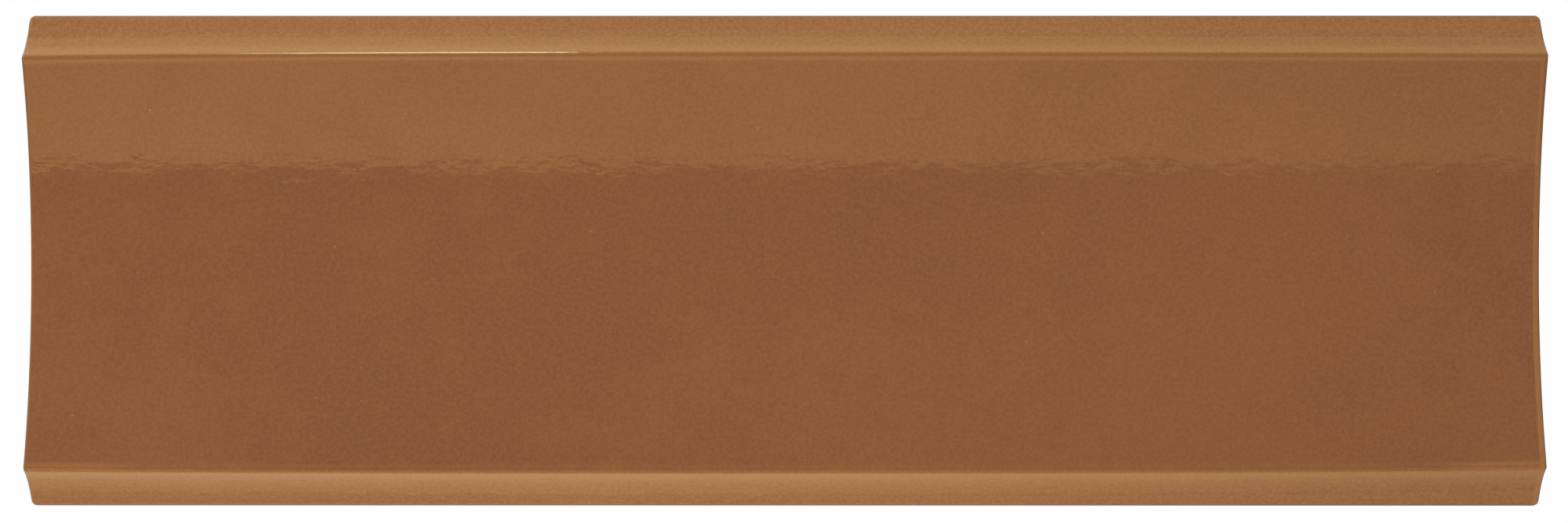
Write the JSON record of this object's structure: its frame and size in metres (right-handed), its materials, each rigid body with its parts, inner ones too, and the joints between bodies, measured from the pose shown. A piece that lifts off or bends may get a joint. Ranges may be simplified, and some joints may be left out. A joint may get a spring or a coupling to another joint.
{
  "type": "concave wall tile",
  "caption": "Long glazed ceramic wall tile with a face hollowed between two long ridges, cheeks sloping to the long edges and a keyed back for adhesive.",
  "frame": {"origin": "middle of the flat back, on the surface the tile lies on", "axes": "+X along the tile, +Y across it, +Z out of the glazed face"},
  "size_m": [0.2, 0.065, 0.013],
  "materials": {
    "glaze": "gloss"
  },
  "bodies": {
    "root": {"tile": "glaze"}
  },
  "joints": []
}
